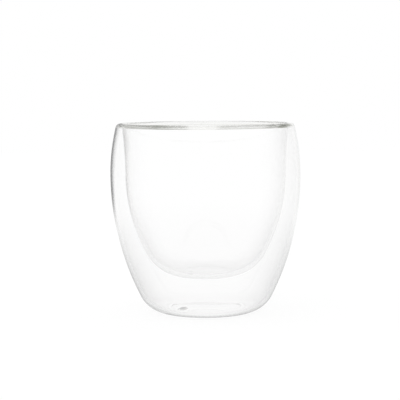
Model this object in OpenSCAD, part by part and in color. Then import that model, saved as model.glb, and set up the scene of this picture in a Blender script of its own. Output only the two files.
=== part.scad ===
// Double walled glass cup. Two blown shells stand one inside the other. They are fused into
// one round lip at the top, and the small vent in the base is sealed with a drop of glass,
// so still air fills the space between them. Nothing moves.
//
// Millimetres. The cup stands on Z = 0 with its axis on Z, and -Y faces the viewer.
// Each wall is half of a section, drawn as arcs that run smoothly into each other and
// turned about the axis.

/* [Outer shell] */
// Height of the cup, from the table to the top of the lip
cup_h = 87.6; // [83:0.2:93]
// Greatest outside diameter, at the belly
belly_d = 88; // [86:0.5:92]
// Height of the belly above the table
belly_z = 64; // [60:0.2:68]
// Diameter of the foot, out to where its rounded corner starts
foot_d = 36.2; // [35.2:0.2:42]
// Radius of the corner that turns the foot up into the side
corner_r = 14; // [11:0.5:16]
// Thickness of the outer wall
shell_wall = 1.5; // [1.2:0.1:1.8]
// Thickness of the base
base_t = 1.5; // [1.3:0.1:2.4]

/* [Raised middle of the base] */
// Inside diameter of the flat ring that the cup stands on
stand_d = 33; // [32:0.5:34.5]
// How far the middle of the base is drawn up off the table
punt_rise = 1.6; // [1.3:0.1:2.4]
// Radius that rounds the raised middle into the standing ring
punt_edge_r = 2; // [1:0.5:2.5]

/* [Lip] */
// How far the ring along the top of the lip lies inside the belly
lip_inset = 4.7; // [3.6:0.1:5.8]
// Radius of the lip's round section
lip_r = 2.1; // [2:0.05:2.4]
// How far the roof of the air space arches up inside the lip
roof_rise = 0.35; // [0.2:0.05:0.6]

/* [Drinking bowl] */
// Width of the air space between the walls, level with the belly
side_gap = 5.4; // [4.5:0.1:6.6]
// Height of the air space on the axis, from the base up to the bowl
under_gap = 13.6; // [9:0.1:17]
// Diameter of the flat middle of the bowl's floor
bowl_flat_d = 19.5; // [14:0.5:24]
// Radius of the turn from the bowl's floor into its side
bowl_turn_r = 19.1; // [16:0.1:22]
// Thickness of the bowl's wall
bowl_wall = 1.3; // [1:0.1:1.6]
// Thickness of the bowl's floor
bowl_floor = 1.8; // [1.3:0.1:2.6]

/* [Vent and its seal] */
// Diameter of the vent through the base
vent_d = 2.4; // [1.5:0.1:3]
// Distance of the vent from the inside of the standing ring
vent_inset = 3; // [3:0.1:16]
// Bearing of the vent, counter-clockwise from +X, seen from above
vent_bearing = 217; // [0:1:359]
// Diameter of the sealing drop's flattened head, under the base
seal_head_d = 4.4; // [3.4:0.1:4.4]
// Depth of the shallow seat that the head is fused into
seal_seat = 0.2; // [0.1:0.05:0.4]
// How far the head stands out below the base
seal_proud = 0.25; // [0.1:0.05:0.3]
// How far the drop's inner end stands up into the air space
seal_crown = 0.5; // [0.2:0.1:1]

/* [Hidden] */

// How far a cut runs past the face that it opens
overrun = 0.5;
// Largest turn between two points of an arc, in degrees
arc_step = 3;
$fn = 96;

outer_glass = [0.86, 0.90, 0.89, 0.35];
inner_glass = [0.93, 0.95, 0.95, 0.30];
lip_glass = [0.66, 0.68, 0.63, 0.60];
seal_glass = [0.72, 0.75, 0.73, 0.60];

belly_r = belly_d / 2;
foot_r = foot_d / 2;
stand_r = stand_d / 2;
bowl_r = belly_r - shell_wall - side_gap - bowl_wall;
bowl_flat_r = bowl_flat_d / 2;
floor_z = punt_rise + base_t + under_gap + bowl_floor;

// Centre of the lip's round section
lip_c = [belly_r - lip_inset, cup_h - lip_r];
lip_rise = lip_c.y - belly_z;

// Radius of an upright arc that is vertical at one end and, a reach inwards and a rise
// away, runs smoothly into a circle of radius end_r.
function side_arc_r(reach, rise, end_r) =
  (reach * reach + rise * rise - end_r * end_r) / (2 * (reach - end_r));

// How far that arc turns before it meets the circle
function side_turn(side_r, rise, end_r) = asin(rise / (side_r - end_r));

// The outer wall bulges up to the lip, and the bowl's wall flares up to it.
shell_up_r = side_arc_r(belly_r - lip_c.x, lip_rise, lip_r);
shell_up_turn = side_turn(shell_up_r, lip_rise, lip_r);
bowl_up_r = side_arc_r(lip_c.x - bowl_r, lip_rise, lip_r);
bowl_up_turn = side_turn(bowl_up_r, lip_rise, lip_r);

// The raised middle is a shallow dome. The arc that rounds its edge touches both the
// dome and the table, which fixes the dome's radius.
dome_r = (stand_r * stand_r + punt_rise * punt_rise) / (2 * punt_rise) - punt_edge_r;
dome_z = punt_rise - dome_r;

// The vent stands square to the dome, so it leans out from the cup's axis.
vent_lean = asin((stand_r - vent_inset) / dome_r);

function polar(r, a) = [r * cos(a), r * sin(a)];

// Points of an arc after its first one, which the outline already has
function arc(c, r, from, to) =
  let (n = max(1, ceil(abs(to - from) / arc_step)))
  [for (i = [1:n]) c + polar(r, from + (to - from) * i / n)];

// A quarter of an ellipse about c, reach wide and rise high, after its first point
function ellipse_quarter(c, reach, rise, from, to) =
  let (n = ceil(abs(to - from) / (3 * arc_step)))
  [for (i = [1:n]) let (a = from + (to - from) * i / n) c + [reach * cos(a), rise * sin(a)]];

function reversed(points) = [for (i = [len(points) - 1:-1:0]) points[i]];

// Half of a domed floor, from the axis out to where it lies flat at height z
function domed_floor(r, z) =
  let (
    edge_x = sqrt(punt_rise * (2 * (r + punt_edge_r) - punt_rise)),
    slope = asin(edge_x / (r + punt_edge_r))
  )
  concat(
    [[0, dome_z + r]],
    arc([0, dome_z], r, 90, 90 - slope),
    arc([edge_x, z + punt_edge_r], punt_edge_r, 270 - slope, 270)
  );

// A side from its floor at height z, where flat_r is flat, up to the belly at side_r
function side_below_belly(side_r, flat_r, turn_r, z) =
  let (
    rise = belly_z - z - turn_r,
    long_r = side_arc_r(side_r - flat_r, rise, turn_r),
    turn = side_turn(long_r, rise, turn_r)
  )
  concat(
    [[flat_r, z]],
    arc([flat_r, z + turn_r], turn_r, -90, -turn),
    arc([side_r - long_r, belly_z], long_r, -turn, 0)
  );

// A surface of the outer shell, depth into the glass from the outside
function shell_up(depth) =
  arc([belly_r - shell_up_r, belly_z], shell_up_r - depth, 0, shell_up_turn);

// A surface of the bowl, depth into the glass from the drink
function bowl_up(depth) =
  arc([bowl_r + bowl_up_r, belly_z], bowl_up_r - depth, 180, 180 - bowl_up_turn);

module shell_section() {
  outside = concat(
    domed_floor(dome_r, 0),
    side_below_belly(belly_r, foot_r, corner_r, 0),
    shell_up(0)
  );
  inside = concat(
    domed_floor(dome_r + base_t, base_t),
    side_below_belly(belly_r - shell_wall, foot_r, corner_r - shell_wall, base_t),
    shell_up(shell_wall)
  );
  polygon(concat(outside, reversed(inside)));
}

module bowl_section() {
  under_z = floor_z - bowl_floor;
  drink_side = concat(
    [[0, floor_z]],
    side_below_belly(bowl_r, bowl_flat_r, bowl_turn_r, floor_z),
    bowl_up(0)
  );
  air_side = concat(
    [[0, under_z]],
    side_below_belly(bowl_r + bowl_wall, bowl_flat_r, bowl_turn_r + bowl_wall, under_z),
    bowl_up(bowl_wall)
  );
  polygon(concat(drink_side, reversed(air_side)));
}

// The lip's section starts and ends on the seams, where the two walls run into it.
module lip_section() {
  bowl_seam = lip_c + polar(lip_r - bowl_wall, 180 - bowl_up_turn);
  shell_seam = lip_c + polar(lip_r - shell_wall, shell_up_turn);
  middle = (bowl_seam + shell_seam) / 2;
  half_span = (shell_seam - bowl_seam) / 2;
  roof = [
    for (a = [180 - 6 * arc_step:-6 * arc_step:6 * arc_step])
      middle + half_span * cos(a) + [0, roof_rise * sin(a)]
  ];
  polygon(concat(
    [lip_c + polar(lip_r, shell_up_turn)],
    arc(lip_c, lip_r, shell_up_turn, 180 - bowl_up_turn),
    [bowl_seam],
    roof,
    [shell_seam]
  ));
}

// Half of the drop's section, measured up the vent from the centre of the dome
module seal_section() {
  head_r = seal_head_d / 2;
  neck_r = vent_d / 2;
  seat_z = dome_r + seal_seat;
  top_z = dome_r + base_t;
  polygon(concat(
    [[0, dome_r - seal_proud]],
    ellipse_quarter([0, dome_r], head_r, seal_proud, -90, 0),
    [[head_r, seat_z], [neck_r, seat_z], [neck_r, top_z]],
    ellipse_quarter([0, top_z], neck_r, seal_crown, 0, 90)
  ));
}

// Puts a child on the vent's line, with the dome's centre as its origin
module on_vent() {
  translate([0, 0, dome_z])
    rotate([0, vent_lean, vent_bearing])
      children();
}

// The vent, with the shallow seat for the drop's head
module vent_cut() {
  under_z = dome_r - overrun;
  translate([0, 0, under_z])
    cylinder(h = base_t + 2 * overrun, d = vent_d);
  translate([0, 0, under_z])
    cylinder(h = seal_seat + overrun, d = seal_head_d);
}

// The blown outside of the cup, open at the top, with the vent in its base
module outer_shell() {
  color(outer_glass)
    difference() {
      rotate_extrude()
        shell_section();
      on_vent()
        vent_cut();
    }
}

// The blown bowl that holds the drink, hung from the lip
module inner_bowl() {
  color(inner_glass)
    rotate_extrude()
      bowl_section();
}

// The round bead of fused glass that joins the two shells at the lip
module lip_bead() {
  color(lip_glass)
    rotate_extrude()
      lip_section();
}

// The drop of glass that fills and seals the vent
module vent_seal() {
  color(seal_glass)
    on_vent()
      rotate_extrude()
        seal_section();
}

outer_shell();
inner_bowl();
lip_bead();
vent_seal();
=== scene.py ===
# %% [markdown]
# # A double walled glass cup
#
# The cup is two blown glass shells, one inside the other, fused into one round lip, with still
# air sealed between them. Nothing on it moves. Clear glass has hardly any colour of its own.
# What the eye sees is its edges, where the wall turns away and light takes a long way through
# it. So this lesson spends its effort on two things. The walls are modelled with their real
# thickness and smooth curves, because refraction shows every fault. The glass then gets the
# slight unevenness that blown glass has, and soft grey edges and dark lines, which are painted
# shade and painted reflections of the room round it.

# %% Load the imported cup
import math

import bmesh
import bpy
from mathutils import Euler, Matrix, Vector


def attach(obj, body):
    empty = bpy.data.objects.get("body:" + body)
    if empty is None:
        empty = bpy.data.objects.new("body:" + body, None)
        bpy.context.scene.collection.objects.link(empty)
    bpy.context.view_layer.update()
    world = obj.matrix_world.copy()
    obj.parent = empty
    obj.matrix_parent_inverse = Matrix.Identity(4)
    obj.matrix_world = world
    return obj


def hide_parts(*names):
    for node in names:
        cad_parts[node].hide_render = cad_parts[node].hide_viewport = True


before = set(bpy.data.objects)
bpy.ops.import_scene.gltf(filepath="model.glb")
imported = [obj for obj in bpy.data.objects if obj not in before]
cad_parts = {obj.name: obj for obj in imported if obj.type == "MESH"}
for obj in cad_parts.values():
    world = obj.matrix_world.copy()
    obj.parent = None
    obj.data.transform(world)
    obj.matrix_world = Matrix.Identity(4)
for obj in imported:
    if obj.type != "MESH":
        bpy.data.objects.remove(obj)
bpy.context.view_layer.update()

# %% [markdown]
# ## Sizes
#
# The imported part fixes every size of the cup. They could be measured on its meshes, but those
# have facets, and glass shows each facet as a band of bent light. So the sizes that the part
# was built from are written here again, and every wall is drawn afresh, finer, in the same
# place. They are in millimetres and are turned into metres once.

# %% The driving sizes
MM = 0.001

CUP_H = 87.6 * MM
BELLY_R = 44 * MM
BELLY_Z = 64 * MM
FOOT_R = 18.1 * MM
CORNER_R = 14 * MM
SHELL_WALL = 1.5 * MM
BASE_T = 1.5 * MM

STAND_R = 16.5 * MM
PUNT_RISE = 1.6 * MM
PUNT_EDGE_R = 2 * MM

LIP_INSET = 4.7 * MM
LIP_R = 2.1 * MM
ROOF_RISE = 0.35 * MM

SIDE_GAP = 5.4 * MM
UNDER_GAP = 13.6 * MM
BOWL_FLAT_R = 9.75 * MM
BOWL_TURN_R = 19.1 * MM
BOWL_WALL = 1.3 * MM
BOWL_FLOOR = 1.8 * MM

VENT_R = 1.2 * MM
VENT_INSET = 3 * MM
VENT_BEARING = math.radians(217)
SEAL_HEAD_R = 2.2 * MM
SEAL_SEAT = 0.2 * MM
SEAL_PROUD = 0.25 * MM
SEAL_CROWN = 0.5 * MM

print(f"cup {CUP_H / MM:.1f} mm high and {2 * BELLY_R / MM:.1f} mm across the belly")

# %% [markdown]
# ## Where the arcs meet
#
# A blown wall has no corners: each curve runs into the next. The curves could be fitted by
# eye, but an arc that is upright at the belly and runs smoothly into a smaller circle can
# have only one radius. This cell works that radius out for the shell and the bowl, and does
# the same for the dome of the base.

# %% Radii that follow from the sizes
def side_arc_r(reach, rise, end_r):
    return (reach**2 + rise**2 - end_r**2) / (2 * (reach - end_r))


def side_turn(side_r, rise, end_r):
    return math.asin(rise / (side_r - end_r))


BOWL_R = BELLY_R - SHELL_WALL - SIDE_GAP - BOWL_WALL
FLOOR_Z = PUNT_RISE + BASE_T + UNDER_GAP + BOWL_FLOOR
LIP_X = BELLY_R - LIP_INSET
LIP_Z = CUP_H - LIP_R
LIP_RISE = LIP_Z - BELLY_Z

SHELL_UP_R = side_arc_r(LIP_INSET, LIP_RISE, LIP_R)
SHELL_UP_TURN = side_turn(SHELL_UP_R, LIP_RISE, LIP_R)
BOWL_UP_R = side_arc_r(LIP_X - BOWL_R, LIP_RISE, LIP_R)
BOWL_UP_TURN = side_turn(BOWL_UP_R, LIP_RISE, LIP_R)

DOME_R = (STAND_R**2 + PUNT_RISE**2) / (2 * PUNT_RISE) - PUNT_EDGE_R
DOME_Z = PUNT_RISE - DOME_R
VENT_LEAN = math.asin((STAND_R - VENT_INSET) / DOME_R)

print(f"shell arc above the belly {SHELL_UP_R / MM:.1f} mm, dome {DOME_R / MM:.1f} mm")

# %% [markdown]
# ## A pen for half a section
#
# A glassblower's shape is a half section turned about the cup's axis. The half section could
# be a curve, or a long list of points. The pen below draws it with Blender's spin operator
# instead: spinning one vertex about a centre leaves an arc of edges behind it, so the code
# says where the centre is and how far the arc turns, as a drawing of the cup would.

# %% The pen
ARC_STEP = math.radians(1.2)
FEWEST_STEPS = 3


class Pen:
    """Draws a chain of edges in the XZ plane, from a point r out and z up."""

    def __init__(self, bm, r, z):
        self.bm = bm
        self.tip = bm.verts.new((r, 0, z))

    def line(self, r, z):
        tip = self.bm.verts.new((r, 0, z))
        self.bm.edges.new((self.tip, tip))
        self.tip = tip

    def arc(self, r, z, turn):
        """Turns about the centre (r, z), anticlockwise where turn is positive."""
        spun = bmesh.ops.spin(
            self.bm,
            geom=[self.tip],
            cent=(r, 0, z),
            axis=(0, -1, 0),
            angle=turn,
            steps=max(FEWEST_STEPS, math.ceil(abs(turn) / ARC_STEP)),
        )
        self.tip = next(v for v in spun["geom_last"] if isinstance(v, bmesh.types.BMVert))


print(f"longest facet of the belly {BELLY_R * ARC_STEP / MM:.2f} mm")

# %% [markdown]
# ## The strokes that the walls share
#
# The base of a blown cup is drawn up in the middle, so that it stands on a flat ring, and the
# side then sweeps up to the belly in one long curve. Both faces of a wall do this a wall's
# thickness apart. Copying the outer line inwards would do it too, but two helpers that are
# called once for each face keep every arc exact.

# %% The raised floor and the side
def domed_floor(pen, dome_r, z):
    """From the axis out over the raised middle, to where the floor is flat at z."""
    edge_x = math.sqrt(PUNT_RISE * (2 * (dome_r + PUNT_EDGE_R) - PUNT_RISE))
    slope = math.asin(edge_x / (dome_r + PUNT_EDGE_R))
    pen.arc(0, DOME_Z, -slope)
    pen.arc(edge_x, z + PUNT_EDGE_R, slope)


def side_below_belly(pen, side_r, flat_r, turn_r, z):
    """From a flat floor at z out to flat_r, round the turn and up to the belly."""
    rise = BELLY_Z - z - turn_r
    long_r = side_arc_r(side_r - flat_r, rise, turn_r)
    turn = side_turn(long_r, rise, turn_r)
    pen.line(flat_r, z)
    pen.arc(flat_r, z + turn_r, math.pi / 2 - turn)
    pen.arc(side_r - long_r, BELLY_Z, turn)


print(f"the middle of the base is drawn up {PUNT_RISE / MM:.1f} mm")

# %% [markdown]
# ## Turning the section
#
# Blown glass is round because it is turned while it is soft. A Screw modifier could turn the
# section, but spin does it in the mesh, where the seam can be closed at once. The last copy
# is merged with the first, the stack of copies on the axis becomes one pole, and the normals
# are worked out again so that every face looks outwards.

# %% Turn a section into a closed piece
TURN_STEPS = 240
WELD = 0.001 * MM


def turned(bm, steps=TURN_STEPS):
    bmesh.ops.spin(
        bm,
        geom=bm.verts[:] + bm.edges[:],
        cent=(0, 0, 0),
        axis=(0, 0, 1),
        angle=math.tau,
        steps=steps,
        use_merge=True,
    )
    bmesh.ops.remove_doubles(bm, verts=bm.verts[:], dist=WELD)
    bmesh.ops.recalc_face_normals(bm, faces=bm.faces[:])


print(f"a full turn is {TURN_STEPS} steps of {math.tau * BELLY_R / TURN_STEPS / MM:.2f} mm")

# %% [markdown]
# ## Fused faces and inner faces
#
# The pieces of a real cup are one glass where they meet, and light crosses a fused seam
# without noticing it. The pieces could overlap there, but light goes wrong in doubled glass.
# So each piece is a closed solid whose seam lies exactly on its neighbour's, and the faces on
# the seam get a slot of their own, which is later made fully clear. Faces that look towards
# the middle of the cup get another slot, because only the outer side draws the dark outline.

# %% Slots for the faces
FUSED, INSIDE = 1, 2  # slot 0 is the glass of the outer side
MIDDLE = Vector((0, 0, CUP_H / 2))


def mark_inside(bm):
    """Gives the faces that look towards the cup's middle the slot for inner faces."""
    for face in bm.faces:
        if face.normal.dot(face.calc_center_median() - MIDDLE) < 0:
            face.material_index = INSIDE


def mark_fused(bm, touches):
    """Gives the faces whose centre, r out and z up, touches a neighbour the fused slot."""
    for face in bm.faces:
        centre = face.calc_center_median()
        if touches(math.hypot(centre.x, centre.y), centre.z):
            face.material_index = FUSED


print(f"the middle of the cup is {MIDDLE.z / MM:.1f} mm up")

# %% [markdown]
# ## The two seams at the lip
#
# The shell and the bowl each run into the lip bead along a short line that points at the
# bead's centre. Whether a face lies on that line could be asked of the mesh, but a test on
# the face's place is simpler: how far it lies along the line, and how far to the side.

# %% Find a seam
SEAM_REACH = 0.02 * MM
SHELL_SEAM = SHELL_UP_TURN
BOWL_SEAM = math.pi - BOWL_UP_TURN


def on_seam(angle, wall):
    """Tests for the seam that lies at an angle about the lip's centre."""

    def touches(r, z):
        out, up = r - LIP_X, z - LIP_Z
        along = out * math.cos(angle) + up * math.sin(angle)
        across = up * math.cos(angle) - out * math.sin(angle)
        return abs(across) < SEAM_REACH and LIP_R - wall < along < LIP_R

    return touches


on_shell_seam = on_seam(SHELL_SEAM, SHELL_WALL)
on_bowl_seam = on_seam(BOWL_SEAM, BOWL_WALL)
print(f"seams at {math.degrees(SHELL_SEAM):.1f} and {math.degrees(BOWL_SEAM):.1f} degrees")

# %% [markdown]
# ## From a bmesh to a piece
#
# A fire-polished surface is smooth all over, so every face is shaded smooth. Only the edge
# round the fused faces is hard. An angle limit could find those edges, but the slots already
# say exactly where they are. Each piece keeps its place in its mesh and its object stays at
# the origin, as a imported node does.

# %% The glasses and the finishing step
shell_glass = bpy.data.materials.new("shell_glass")
bowl_glass = bpy.data.materials.new("bowl_glass")
lip_glass = bpy.data.materials.new("lip_glass")
seal_glass = bpy.data.materials.new("seal_glass")
shell_inner_glass = bpy.data.materials.new("shell_inner_glass")
bowl_inner_glass = bpy.data.materials.new("bowl_inner_glass")
fused_seam = bpy.data.materials.new("fused_seam")


def finish_mesh(bm, name, glass, inner_glass=None):
    """Shades the piece smooth, hard only where the slot changes, and fills its three slots."""
    for face in bm.faces:
        face.smooth = True
    for edge in bm.edges:
        edge.smooth = len({face.material_index for face in edge.link_faces}) == 1
    mesh = bpy.data.meshes.new(name)
    bm.to_mesh(mesh)
    bm.free()
    for material in (glass, fused_seam, inner_glass or glass):
        mesh.materials.append(material)
    piece = bpy.data.objects.new(name, mesh)
    bpy.context.scene.collection.objects.link(piece)
    print(f"{name}: {len(mesh.polygons)} faces")
    return piece


# %% [markdown]
# ## The outer shell
#
# This is the blown wall that the hand holds. Turning a single line and thickening it with a
# Solidify modifier would be shorter, but its inside has its own flat ring and its own corner,
# and its end has to lie on the lip's seam. So the outside and the inside are two strokes of
# the pen. Both start on the axis under the raised middle and end at the lip, where one edge
# joins them.

# %% Turn the outer shell
def shell_section(bm):
    outside = Pen(bm, 0, DOME_Z + DOME_R)
    domed_floor(outside, DOME_R, 0)
    side_below_belly(outside, BELLY_R, FOOT_R, CORNER_R, 0)
    outside.arc(BELLY_R - SHELL_UP_R, BELLY_Z, SHELL_UP_TURN)

    inside = Pen(bm, 0, DOME_Z + DOME_R + BASE_T)
    domed_floor(inside, DOME_R + BASE_T, BASE_T)
    side_below_belly(inside, BELLY_R - SHELL_WALL, FOOT_R, CORNER_R - SHELL_WALL, BASE_T)
    inside.arc(BELLY_R - SHELL_UP_R, BELLY_Z, SHELL_UP_TURN)
    bm.edges.new((outside.tip, inside.tip))


bm = bmesh.new()
shell_section(bm)
turned(bm)
mark_inside(bm)
mark_fused(bm, on_shell_seam)
shell = finish_mesh(bm, "cup_outer_shell", shell_glass, shell_inner_glass)

# %% [markdown]
# ## The vent in the base
#
# Air must get out while the lip is fused, so the base has a small vent, square to its dome.
# The hole could be cut by deleting faces and bridging the gap, but the dome's faces don't line
# up with a slanted round hole. A Boolean modifier with a cutter of the vent's shape, and of
# the shallow seat of the drop that seals it, cuts it cleanly. The cut faces touch the drop,
# so they take the fused slot from the cutter.

# %% Make the vent's cutter
VENT_STEPS = 48
OVERRUN = 0.5 * MM
LEANING = Euler((0, VENT_LEAN, VENT_BEARING)).to_matrix().to_4x4()
ON_VENT = Matrix.Translation((0, 0, DOME_Z)) @ LEANING

bm = bmesh.new()
pen = Pen(bm, 0, DOME_R - OVERRUN)
pen.line(SEAL_HEAD_R, DOME_R - OVERRUN)
pen.line(SEAL_HEAD_R, DOME_R + SEAL_SEAT)
pen.line(VENT_R, DOME_R + SEAL_SEAT)
pen.line(VENT_R, DOME_R + BASE_T + OVERRUN)
pen.line(0, DOME_R + BASE_T + OVERRUN)
turned(bm, VENT_STEPS)
mark_fused(bm, lambda r, z: True)
bmesh.ops.transform(bm, matrix=ON_VENT, verts=bm.verts[:])
cutter = finish_mesh(bm, "vent_cutter", seal_glass)

# %% Cut the vent
cut = shell.modifiers.new("vent", "BOOLEAN")
cut.operation = "DIFFERENCE"
cut.solver = "EXACT"
cut.material_mode = "TRANSFER"
cut.object = cutter
shell_with_vent = shell.evaluated_get(bpy.context.evaluated_depsgraph_get())
shell.data = bpy.data.meshes.new_from_object(shell_with_vent)
shell.modifiers.clear()
bpy.data.objects.remove(cutter)
print(f"shell with its vent: {len(shell.data.polygons)} faces")

# %% [markdown]
# ## The drinking bowl
#
# The bowl holds the drink and hangs from the lip. It is made as the shell is, in two strokes,
# for the same reason. Its floor is flat and a little thicker than its side, and its wall
# flares to meet the lip, so the last arc turns clockwise about a centre far outside the cup.

# %% Turn the bowl
def bowl_section(bm):
    drink_side = Pen(bm, 0, FLOOR_Z)
    side_below_belly(drink_side, BOWL_R, BOWL_FLAT_R, BOWL_TURN_R, FLOOR_Z)
    drink_side.arc(BOWL_R + BOWL_UP_R, BELLY_Z, -BOWL_UP_TURN)

    under_z = FLOOR_Z - BOWL_FLOOR
    air_side = Pen(bm, 0, under_z)
    side_below_belly(air_side, BOWL_R + BOWL_WALL, BOWL_FLAT_R, BOWL_TURN_R + BOWL_WALL, under_z)
    air_side.arc(BOWL_R + BOWL_UP_R, BELLY_Z, -BOWL_UP_TURN)
    bm.edges.new((drink_side.tip, air_side.tip))


bm = bmesh.new()
bowl_section(bm)
turned(bm)
mark_inside(bm)
mark_fused(bm, on_bowl_seam)
bowl = finish_mesh(bm, "cup_inner_bowl", bowl_glass, bowl_inner_glass)

# %% [markdown]
# ## The lip
#
# The flame that fuses the two walls rounds their edge into a bead, which the mouth drinks
# from. A torus would be quicker, but it would run through both walls. The section drawn here
# is most of a circle between the two seams, closed below by the small arched roof of the air
# space, so the bead fills the gap and nothing else.

# %% Turn the lip bead
ROOF_POINTS = 10


def around_lip(radius, angle):
    """The point at an angle about the lip's centre, out and up."""
    return Vector((LIP_X + radius * math.cos(angle), LIP_Z + radius * math.sin(angle)))


def lip_section(bm):
    first = around_lip(LIP_R, SHELL_SEAM)
    crown = Pen(bm, first.x, first.y)
    start = crown.tip
    crown.arc(LIP_X, LIP_Z, BOWL_SEAM - SHELL_SEAM)
    left = around_lip(LIP_R - BOWL_WALL, BOWL_SEAM)
    right = around_lip(LIP_R - SHELL_WALL, SHELL_SEAM)
    for i in range(ROOF_POINTS + 1):
        a = math.pi * (1 - i / ROOF_POINTS)
        point = (left + right) / 2 + (right - left) / 2 * math.cos(a)
        crown.line(point.x, point.y + ROOF_RISE * math.sin(a))
    bm.edges.new((crown.tip, start))


bm = bmesh.new()
lip_section(bm)
turned(bm)
mark_fused(bm, on_shell_seam)
mark_fused(bm, on_bowl_seam)
lip = finish_mesh(bm, "cup_lip_bead", lip_glass)

# %% [markdown]
# ## The drop that seals the vent
#
# The last step at the glassworks is a drop of melted glass on the vent: a flattened head
# under the base, a neck that fills the vent, and a small crown that stands up into the air
# space. A squashed sphere would look like it from afar, but the neck shows through clear
# glass, so the drop is turned as one section and then put on the vent's slanted line.

# %% Turn the sealing drop
DROP_POINTS = 12

bm = bmesh.new()
pen = Pen(bm, 0, DOME_R - SEAL_PROUD)
for i in range(1, DROP_POINTS + 1):
    a = math.pi / 2 * (i / DROP_POINTS - 1)
    pen.line(SEAL_HEAD_R * math.cos(a), DOME_R + SEAL_PROUD * math.sin(a))
pen.line(SEAL_HEAD_R, DOME_R + SEAL_SEAT)
pen.line(VENT_R, DOME_R + SEAL_SEAT)
pen.line(VENT_R, DOME_R + BASE_T)
for i in range(1, DROP_POINTS + 1):
    a = math.pi / 2 * i / DROP_POINTS
    pen.line(VENT_R * math.cos(a), DOME_R + BASE_T + SEAL_CROWN * math.sin(a))
turned(bm, VENT_STEPS)
mark_fused(bm, lambda r, z: DOME_R < z < DOME_R + BASE_T)
bmesh.ops.transform(bm, matrix=ON_VENT, verts=bm.verts[:])
seal = finish_mesh(bm, "cup_vent_seal", seal_glass)

# %% [markdown]
# ## Tie the pieces to the part
#
# The imported nodes could be shown as they are, with a better material. They are hidden instead,
# because these pieces have the same walls with finer facets. Each one stands in for the packed
# node of the same shape and rides on the one body.

# %% Replace and ride
for piece, node, slot in (
    (shell, "outer_shell", "outer_glass"),
    (bowl, "inner_bowl", "inner_glass"),
    (lip, "lip_bead", "lip_glass"),
    (seal, "vent_seal", "seal_glass"),
):
    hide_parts(node)
    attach(piece, "root")
    print(f"{piece.name} replaces {node}")

# %% [markdown]
# ## Shader maths
#
# A material is a small sum worked out at every point of the surface. Its nodes could be wired
# one by one, but a sum is easier to read as arithmetic. A Wire wraps one socket, and adding
# or multiplying wires makes the Math nodes.

# %% Wires
class Wire:
    def __init__(self, tree, socket):
        self.tree, self.socket = tree, socket

    def math(self, operation, *terms):
        return self.tree.node("ShaderNodeMath", {"operation": operation}, dict(enumerate(terms)))

    def out(self, name):
        return Wire(self.tree, self.socket.node.outputs[name])

    def __add__(self, other):
        return self.math("ADD", self, other)

    def __mul__(self, other):
        return self.math("MULTIPLY", self, other)

    def __rsub__(self, other):
        return self.math("SUBTRACT", other, self)

    __radd__, __rmul__ = __add__, __mul__


print("wires can be added and multiplied, and taken from a number")

# %% [markdown]
# ## One method for every node
#
# Every other node comes from one method, which takes the node's type, its settings and its
# sockets. Three short helpers stand on it: a smooth step, a mix of two colours, and the
# object's own coordinates, which stay with the piece wherever the camera goes.

# %% Trees
MIX_FIRST, MIX_SECOND, MIX_RESULT = 6, 7, 2  # the colour sockets of a Mix node


def grey(level):
    return (level, level, level, 1)


def set_stops(ramp, stops):
    """Gives a new colour ramp its stops, each a place from 0 to 1 and a level of grey."""
    ramp.elements.remove(ramp.elements[-1])
    ramp.elements[0].position = stops[0][0]
    ramp.elements[0].color = grey(stops[0][1])
    for place, level in stops[1:]:
        ramp.elements.new(place).color = grey(level)


class Tree:
    def __init__(self, owner):
        owner.use_nodes = True
        self.nodes, self.links = owner.node_tree.nodes, owner.node_tree.links
        self.nodes.clear()

    def node(self, kind, settings=None, sockets=None, output=0):
        """Makes a node of any kind: its settings first, then its sockets' values or links."""
        made = self.nodes.new(kind)
        for name, value in (settings or {}).items():
            if name == "stops":
                set_stops(made.color_ramp, value)
            else:
                setattr(made, name, value)
        for key, value in (sockets or {}).items():
            if isinstance(value, Wire):
                self.links.new(value.socket, made.inputs[key])
            else:
                made.inputs[key].default_value = value
        return Wire(self, made.outputs[output]) if made.outputs else None

    def between(self, value, low, high):
        """0 at low, 1 at high, and a smooth step from one to the other."""
        return self.node(
            "ShaderNodeMapRange",
            {"interpolation_type": "SMOOTHSTEP"},
            {"Value": value, "From Min": low, "From Max": high},
        )

    def mix(self, share, first, second, blend="MIX"):
        """From the first colour to the second, or to their product, as share goes to 1."""
        return self.node(
            "ShaderNodeMix",
            {"data_type": "RGBA", "blend_type": blend},
            {"Factor": share, MIX_FIRST: first, MIX_SECOND: second},
            output=MIX_RESULT,
        )

    def place(self):
        """The point's place on the object, and the same split into X, Y and Z."""
        place = self.node("ShaderNodeTexCoord").out("Object")
        return place, self.node("ShaderNodeSeparateXYZ", sockets={0: place})


print("white is", grey(1.0))

# %% [markdown]
# ## Soft grey edges
#
# Borosilicate glass takes almost nothing from the light, and a computed wall of it is cleaner
# than a blown one. In the photograph each wall fades to grey as it turns edge on, where it
# shows the dimmer room and table round it. The grey is deeper and broader low on the cup,
# where the table shows, a little deeper on the right than on the left high up, and missing in
# the base. Here it is painted shade in the glass's colour. Absorption inside the glass could
# do part of that, but it greys the whole bowl as well. Layer Weight says how edge on the
# surface is, from 0 facing the ray to 1 seen along the surface, so it gives the painted grey
# to the edges alone.

# %% The grey of a wall that turns away
CLEAR = grey(1.0)
# Painted shade: the grey that edge-on glass takes from the dimmer room and table, deeper low down,
# and high up deeper on the right.
SHELL_LOW, BOWL_LOW = grey(0.75), grey(0.72)
HIGH_LEFT, HIGH_RIGHT = grey(0.92), grey(0.845)
LEFT_X, RIGHT_X = -20 * MM, 20 * MM
BASE_TO_Z, SIDE_FROM_Z = 1.5 * MM, 4 * MM
HIGH_START, SOFT_FULL = 0.25, 1.1
# The grey low down, the facing at which it starts there, and the heights from low to high.
SHELL_SOFT = (SHELL_LOW, 0.15, 10 * MM, 47 * MM)
BOWL_SOFT = (BOWL_LOW, 0.25, 25 * MM, 60 * MM)


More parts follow.
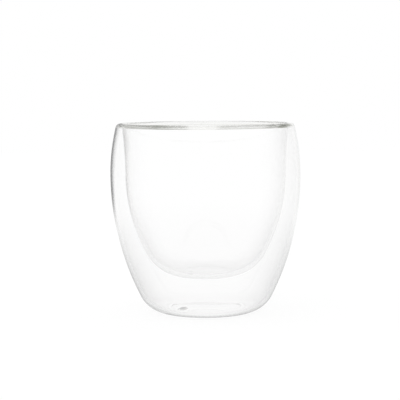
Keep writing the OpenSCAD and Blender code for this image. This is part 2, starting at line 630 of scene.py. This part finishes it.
def soft_edges(tree, facing, spot, colour, soft):
    """The glass's own colour face on, and that times the painted grey of shade edge on."""
    low_grey, low_start, low_to_z, high_from_z = soft
    height = tree.between(spot.out("Z"), low_to_z, high_from_z)
    high_grey = tree.mix(tree.between(spot.out("X"), LEFT_X, RIGHT_X), HIGH_LEFT, HIGH_RIGHT)
    start = height * (HIGH_START - low_start) + low_start
    side = tree.between(spot.out("Z"), BASE_TO_Z, SIDE_FROM_Z)
    share = tree.between(facing, start, SOFT_FULL) * side
    return tree.mix(share, colour, tree.mix(height, low_grey, high_grey), "MULTIPLY")


print("edge on, the shell passes", SHELL_LOW[0], "low down and", HIGH_LEFT[0], "high up")

# %% [markdown]
# ## The dark outline
#
# The photograph draws a thin dark line down each wall, strong high on the left and weak on the
# right, and a broader, even one round the foot. Most likely it is the reflection of dark things
# that stood round the studio, and at the foot the shade where the cup meets the floor, which no
# list of lamps here would bring back. So a second, narrower step on Layer Weight paints it on
# the glass, as a painted reflection and, at the foot, painted shade. Ray Depth keeps it to the
# first time that a ray meets the wall: straight away for the shell, and after the shell's two
# faces for the bowl. Without that, every reflection inside the glass would draw it again.

# %% The line down a wall
# The painted dark of the studio's reflection down the walls, and of the shade at the foot.
OUTLINE = grey(0.11)
HIGH_LINE_FROM_Z, HIGH_LINE_TO_Z = 34 * MM, 58 * MM
WEAKEST = 0.3
FOOT_FROM_Z, FOOT_TO_Z = 8 * MM, 1 * MM
FOOT_STRENGTH, FOOT_LIFT = 0.4, 0.13
MOUTH_FROM_Z, MOUTH_TO_Z = 68 * MM, 82 * MM
SAME_DEPTH = 0.5


def stronger(mask):
    """From the weakest line where the mask is 0 to the full line where it is 1."""
    return mask * (1 - WEAKEST) + WEAKEST


def outline(tree, facing, spot, path, line, behind, lift):
    """How much of the line shows: line is its range of facings, wider by lift at the mouth."""
    height = stronger(tree.between(spot.out("Z"), HIGH_LINE_FROM_Z, HIGH_LINE_TO_Z))
    side = stronger(tree.between(spot.out("X"), RIGHT_X, LEFT_X))
    foot = tree.between(spot.out("Z"), FOOT_FROM_Z, FOOT_TO_Z)
    mouth = tree.between(spot.out("Z"), MOUTH_FROM_Z, MOUTH_TO_Z)
    strength = foot.math("MAXIMUM", height * side, foot * FOOT_STRENGTH)
    first_meeting = path.math("COMPARE", path.out("Ray Depth"), behind, SAME_DEPTH)
    return tree.between(facing + foot * FOOT_LIFT + mouth * lift, *line) * strength * first_meeting


print(f"the line is full above {HIGH_LINE_TO_Z / MM:.0f} mm and weakest on the right")

# %% [markdown]
# ## Clear glass
#
# Under the grey and the line lies plain clear glass: a Principled shader with full
# transmission, no roughness and the index of borosilicate glass. Blown walls are never quite
# even, so a wide, very shallow noise tilts the surface. Thin glass casts almost no shadow,
# and the renderer would need a great many samples to find that light through four walls, so
# for shadow rays the glass is a nearly clear film.

# %% The glass
GLASS_IOR = 1.47
WAVE_SCALE, WAVE_DETAIL = 55.0, 1.0
WAVE_STRENGTH, WAVE_HEIGHT = 0.05, 0.4 * MM
SHADOW_FILM = (0.93, 0.94, 0.94, 1)


def clear(tree, spot, path):
    """The colour, face on, of glass that has none of its own."""
    return CLEAR


def make_glass(material, soft, colour=clear, line=None, behind=0, lift=0.0):
    """colour is a helper like clear, and line is the outline's range of facings."""
    tree = Tree(material)
    facing = tree.node("ShaderNodeLayerWeight").out("Facing")
    path = tree.node("ShaderNodeLightPath")
    place, spot = tree.place()
    tint = soft_edges(tree, facing, spot, colour(tree, spot, path), soft)
    if line:
        tint = tree.mix(outline(tree, facing, spot, path, line, behind, lift), tint, OUTLINE)
    waves = tree.node(
        "ShaderNodeTexNoise", sockets={"Vector": place, "Scale": WAVE_SCALE, "Detail": WAVE_DETAIL}
    )
    uneven = tree.node(
        "ShaderNodeBump",
        sockets={"Strength": WAVE_STRENGTH, "Distance": WAVE_HEIGHT, "Height": waves},
    )
    glass = tree.node(
        "ShaderNodeBsdfPrincipled",
        sockets={
            "Base Color": tint,
            "Roughness": 0.0,
            "IOR": GLASS_IOR,
            "Transmission Weight": 1.0,
            "Normal": uneven,
        },
    )
    film = tree.node("ShaderNodeBsdfTransparent", sockets={"Color": SHADOW_FILM})
    surface = tree.node(
        "ShaderNodeMixShader", sockets={0: path.out("Is Shadow Ray"), 1: glass, 2: film}
    )
    tree.node("ShaderNodeOutputMaterial", sockets={"Surface": surface})
    print(f"{material.name}: {len(tree.nodes)} nodes")


# %% [markdown]
# ## Dress the walls
#
# The shell's line is narrow, and the bowl's is broad and soft, because it is seen through the
# shell. The bowl's flare turns the wall partly towards the viewer near the mouth, so its line
# is lifted there. The inner faces of a wall have its soft grey and no line. The seams are
# fully transparent, so a ray goes through them as through solid glass.

# %% Shell, bowl and seams
SHELL_LINE = (0.72, 0.85)
BOWL_LINE = (0.63, 0.92)
SHELL_FACES = 2
MOUTH_LIFT = 0.06

make_glass(shell_glass, SHELL_SOFT, line=SHELL_LINE)
make_glass(shell_inner_glass, SHELL_SOFT)
make_glass(bowl_glass, BOWL_SOFT, line=BOWL_LINE, behind=SHELL_FACES, lift=MOUTH_LIFT)
make_glass(bowl_inner_glass, BOWL_SOFT)

tree = Tree(fused_seam)
tree.node("ShaderNodeOutputMaterial", sockets={"Surface": tree.node("ShaderNodeBsdfTransparent")})
print("seams are clear")

# %% [markdown]
# ## The lip's colour and the drop's
#
# The bead is the one place where the glass is thick, and it looks olive grey there. In the
# photograph its crown is dark in some stretches and clear in others. The dark stretches are the
# studio seen in the glass, so here they are a painted reflection, with the olive grey of thick
# glass as their tone. One picture doesn't tell whether that is the studio seen in the glass or
# an uneven bead. A noise could vary the crown, but the dark stretches have their own places. So
# a colour ramp runs round the rim, read by bearing, and only the crown takes it. Its stops were
# set with the rim's brightness in the photograph and in the render side by side. The back of
# the rim is nearly clear on its inner side, and the photograph doesn't show its outer side.
# That side repeats the painted stretches of the front, half a turn on, only where a ray meets
# it first, so that the front view stays as it is. The drop in the vent is a blob of thick glass
# too, and it is given a plain mid grey, darker than the glass round it.

# %% The lip and the drop
LIP_CLEAR = (0.98, 0.98, 0.96, 1)
# The tone of thick glass, darkened into a painted reflection of the studio on the crown's dark
# stretches.
LIP_THICK_AND_REFLECTION = (0.08, 0.085, 0.06, 1)
CROWN_FROM_Z, CROWN_TO_Z = 86.3 * MM, 86.7 * MM
UNDER_CROWN = 0.1
OUTER_FROM_R, OUTER_TO_R = LIP_X + 0.2 * MM, LIP_X + 0.7 * MM
DROP_GREY = grey(0.5)
FULL_TURN_DEG = 360
# A bearing in degrees from the very front, to the viewer's right, and how dark the painted
# reflection makes the crown.
STRETCHES = (
    (-180, 0.2), (-140, 0.1), (-95, 0.15), (-88, 0.8), (-71, 0.5), (-64, 0.7), (-48, 0.7),
    (-33, 0.95), (-24, 0.85), (-18, 0.7), (-13, 0.65), (-10, 0.2), (4, 0.08), (10, 0.55),
    (38, 0.5), (48, 0.85), (52, 0.6), (56, 1.0), (68, 1.0), (76, 0.3), (90, 0.1),
    (180, 0.15),
)


def darkness(tree, forward, rightward):
    """How dark the crown's painted reflection is, at the bearing of a point forward and to the
    right.
    """
    half_turn = 0.5
    around = forward.math("ARCTAN2", rightward, forward) * (1 / math.tau) + half_turn
    stops = [(half_turn + degrees / FULL_TURN_DEG, level) for degrees, level in STRETCHES]
    return tree.node("ShaderNodeValToRGB", {"stops": stops}, {0: around})


def lip_colour(tree, spot, path):
    """Olive grey painted reflection on the dark stretches of the crown, and nearly clear
    elsewhere.
    """
    x, y, z = (spot.out(name) for name in "XYZ")
    squared = x * x + y * y
    outer = tree.between(squared.math("SQRT", squared), OUTER_FROM_R, OUTER_TO_R)
    first_meeting = path.math("COMPARE", path.out("Ray Depth"), 0, SAME_DEPTH)
    front = darkness(tree, y * -1, x)
    back = darkness(tree, y, x * -1) * outer * first_meeting
    dark = front.math("MAXIMUM", front, back)
    crown = tree.between(z, CROWN_FROM_Z, CROWN_TO_Z)
    return tree.mix(dark * (crown * (1 - UNDER_CROWN) + UNDER_CROWN), LIP_CLEAR, LIP_THICK_AND_REFLECTION)


def drop_colour(tree, spot, path):
    """One grey all over."""
    return DROP_GREY


make_glass(lip_glass, BOWL_SOFT, colour=lip_colour)
make_glass(seal_glass, SHELL_SOFT, colour=drop_colour)

# %% [markdown]
# ## A white studio
#
# The cup is photographed on seamless white. Plain white all round would make the glass vanish,
# so the room has two darker things, as a photographer's would. The ceiling is a little dimmer
# than the walls, and a dark card stands behind the cup, to its left. Real boards could be
# built, but glass would show them through its walls too. So the card is part of the world and
# is there only for rays that a surface has mirrored. In the photograph's view that puts it in
# the left edge of the shell, with no more than a trace on the rim and on the right. From
# behind it is a very faint patch high on the cup. Cycles counts a ray that glass lets through
# as glossy as well, so a mirrored ray is one that is glossy and isn't a transmission ray.

# %% Kinds of ray, and the dark card
WHITE = grey(1.0)
CARD = grey(0.34)
CARD_RIGHT_FROM, CARD_RIGHT_TO = 0.0, -0.05
CARD_LEFT_FROM, CARD_LEFT_TO = -0.75, -0.6


def ray_kinds(tree):
    """The Light Path node, rays that the glass sends on, and rays that it mirrors."""
    path = tree.node("ShaderNodeLightPath")
    glossy, through = path.out("Is Glossy Ray"), path.out("Is Transmission Ray")
    return path, path.math("MAXIMUM", glossy, through), glossy * (1 - through)


def towards_card(tree, along):
    """1 where x and y point towards the card, by their bearing in radians from +Y."""
    bearing = along.math("ARCTAN2", along.out("X"), along.out("Y"))
    right = tree.between(bearing, CARD_RIGHT_FROM, CARD_RIGHT_TO)
    return right * tree.between(bearing, CARD_LEFT_FROM, CARD_LEFT_TO)


print(f"the card is {math.degrees(CARD_RIGHT_TO - CARD_LEFT_TO):.0f} degrees wide")

# %% World
CEILING = grey(0.93)
CEILING_FROM, CEILING_TO = 0.3, 0.9
CARD_TOP_FROM, CARD_TOP_TO = 0.45, 0.3

world = bpy.data.worlds.new("white_room")
bpy.context.scene.world = world
tree = Tree(world)
path, by_glass, mirrored = ray_kinds(tree)
way = tree.node("ShaderNodeTexCoord").out("Generated")
ray = tree.node("ShaderNodeSeparateXYZ", sockets={0: way})
room = tree.mix(tree.between(ray.out("Z"), CEILING_FROM, CEILING_TO), WHITE, CEILING)
card = towards_card(tree, ray) * tree.between(ray.out("Z"), CARD_TOP_FROM, CARD_TOP_TO)
room = tree.mix(card * mirrored, room, CARD)
seen = tree.mix(by_glass, WHITE, room)
light = tree.node("ShaderNodeBackground", sockets={"Color": seen, "Strength": 1.0})
tree.node("ShaderNodeOutputWorld", sockets={"Surface": light})
print(f"world: {len(tree.nodes)} nodes")

# %% [markdown]
# ## The floor
#
# The floor is a matt white sheet. To the camera it is nearly all plain white, and the small
# share that stays matt keeps the cup's soft shadow, which a plain white sheet would lose.
# Rays from the glass see the white too. In a mirror image the floor close to the cup is
# darker, because the cup shades it, and that draws the turn of the foot. The card goes on
# across the floor, because the shell mirrors the floor and not the wall below its belly.

# %% Floor
FLOOR_HALF = 1.5
MATT = grey(0.9)
CAMERA_WHITE = 0.93
SHADED = grey(0.5)
SHADED_FROM, SHADED_TO = 0.3, 0.04
CARD_FROM, CARD_TO = 0.24, 0.55

bm = bmesh.new()
bmesh.ops.create_grid(bm, x_segments=1, y_segments=1, size=FLOOR_HALF)
mesh = bpy.data.meshes.new("floor")
bm.to_mesh(mesh)
bm.free()
floor = bpy.data.objects.new("floor", mesh)
bpy.context.scene.collection.objects.link(floor)

white_floor = bpy.data.materials.new("white_floor")
mesh.materials.append(white_floor)
tree = Tree(white_floor)
path, by_glass, mirrored = ray_kinds(tree)
place, spot = tree.place()
reach = tree.node("ShaderNodeVectorMath", {"operation": "LENGTH"}, {0: place}, output=1)
shaded = tree.between(reach, SHADED_FROM, SHADED_TO) * mirrored
card = towards_card(tree, spot) * tree.between(reach, CARD_FROM, CARD_TO) * mirrored
sheet = tree.mix(card, tree.mix(shaded, WHITE, SHADED), CARD)
plain = tree.node("ShaderNodeEmission", sockets={"Color": sheet, "Strength": 1.0})
matt = tree.node("ShaderNodeBsdfDiffuse", sockets={"Color": MATT})
share = path.math("MAXIMUM", path.out("Is Camera Ray") * CAMERA_WHITE, by_glass)
surface = tree.node("ShaderNodeMixShader", sockets={0: share, 1: matt, 2: plain})
tree.node("ShaderNodeOutputMaterial", sockets={"Surface": surface})
print(f"floor {2 * FLOOR_HALF:.0f} m square, {len(tree.nodes)} nodes")

# %% [markdown]
# ## The lamp
#
# The photograph has no hard shadow, so the light came from a wide soft source overhead. An
# area lamp would show as a bright patch in the glass. A sun lamp with a broad angle gives the
# same soft shadow at one even level, and it is hidden from the camera and from the glass.

# %% Lamp
LAMP_AT = Vector((-0.3, -0.25, 0.9))
LAMP_AIM = Vector((0, 0, 0.04))
LAMP_STRENGTH = 1.0
LAMP_BREADTH = math.radians(30)

lamp_data = bpy.data.lights.new("soft_top", "SUN")
lamp_data.energy = LAMP_STRENGTH
lamp_data.angle = LAMP_BREADTH
lamp = bpy.data.objects.new("soft_top", lamp_data)
lamp.location = LAMP_AT
lamp.rotation_euler = (LAMP_AIM - LAMP_AT).to_track_quat("-Z", "Y").to_euler()
lamp.visible_camera = False
lamp.visible_glossy = False
lamp.visible_transmission = False
bpy.context.scene.collection.objects.link(lamp)
print("lamp shines along", [round(value, 2) for value in (LAMP_AIM - LAMP_AT).normalized()])

# %% [markdown]
# ## The camera
#
# The rim of the photographed cup is a thin ellipse, so the camera stood a little above it, and
# its sides hardly converge, so the lens was long. The height, distance, lens and slight roll
# were fitted to the cup's outline, and the lens is written as the photograph gives it, in
# picture widths.

# %% Camera
CAMERA_AT = Vector((-2.65, -600, 103.6)) * MM
LOOKS_DOWN = 0.0859
ROLL = 0.0066
LENS_IN_PIXELS, PHOTO_PIXELS = 1297, 400
SENSOR_MM = 36

camera_data = bpy.data.cameras.new("photo_camera")
camera_data.sensor_width = SENSOR_MM
camera_data.lens = LENS_IN_PIXELS / PHOTO_PIXELS * SENSOR_MM
camera = bpy.data.objects.new("photo_camera", camera_data)
turn = Matrix.Rotation(math.pi / 2 - LOOKS_DOWN, 4, "X") @ Matrix.Rotation(-ROLL, 4, "Z")
camera.matrix_world = Matrix.Translation(CAMERA_AT) @ turn
bpy.context.scene.collection.objects.link(camera)
bpy.context.scene.camera = camera
print(f"lens {camera_data.lens:.1f} mm, looking down {math.degrees(LOOKS_DOWN):.1f} degrees")

# %% [markdown]
# ## Render choices
#
# A ray crosses eight faces on its way through the cup, and inside the lip bead it can be
# mirrored round and round hundreds of times before it finds a way out. A ray that is cut
# short comes back black and leaves a dark speck. The limits are therefore very high, which
# costs little, because few rays go that far. The Standard view keeps white as white.

# %% Bounces and view
GLASS_BOUNCES = 1000
SEAM_BOUNCES = 256

scene = bpy.context.scene
scene.view_settings.view_transform = "Standard"
scene.cycles.max_bounces = GLASS_BOUNCES
scene.cycles.transmission_bounces = GLASS_BOUNCES
scene.cycles.glossy_bounces = GLASS_BOUNCES
scene.cycles.transparent_max_bounces = SEAM_BOUNCES
print("bounces:", scene.cycles.max_bounces)
